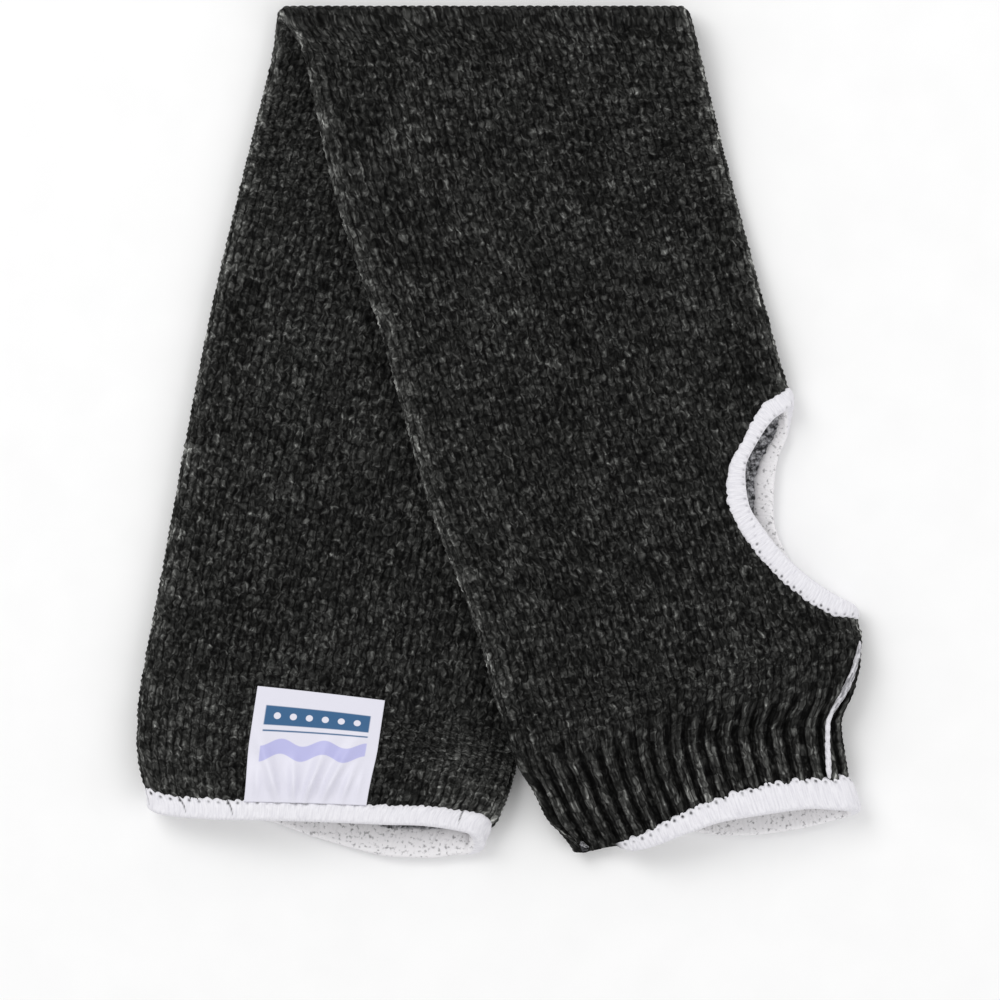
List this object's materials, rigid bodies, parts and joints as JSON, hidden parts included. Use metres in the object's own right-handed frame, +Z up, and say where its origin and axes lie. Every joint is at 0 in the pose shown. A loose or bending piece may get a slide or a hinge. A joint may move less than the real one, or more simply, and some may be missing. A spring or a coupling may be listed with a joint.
{
  "type": "cut resistant sleeve",
  "caption": "Knitted protective arm sleeve with a ribbed wrist cuff, a thumb hole and overlocked edges, lying flat and folded over at its middle.",
  "frame": {"origin": "under the middle of the folded sleeve, on the surface that it lies on", "axes": "+Y from the two mouths towards the fold, +Z up from the surface, +X towards the thumb hole side"},
  "size_m": [0.1966, 0.2306, 0.0234],
  "materials": {
    "knit": "matte heather knit, charcoal with white flecks",
    "thread": "matte bulky overlock thread, white",
    "satin": "woven satin, pale lavender white with plain blue bands"
  },
  "bodies": {
    "root": {"knit_tube": "knit", "upper_arm_hem": "thread", "wrist_hem": "thread", "thumb_hole_edging": "thread", "cuff_seam": "thread", "label": "satin"}
  },
  "joints": []
}
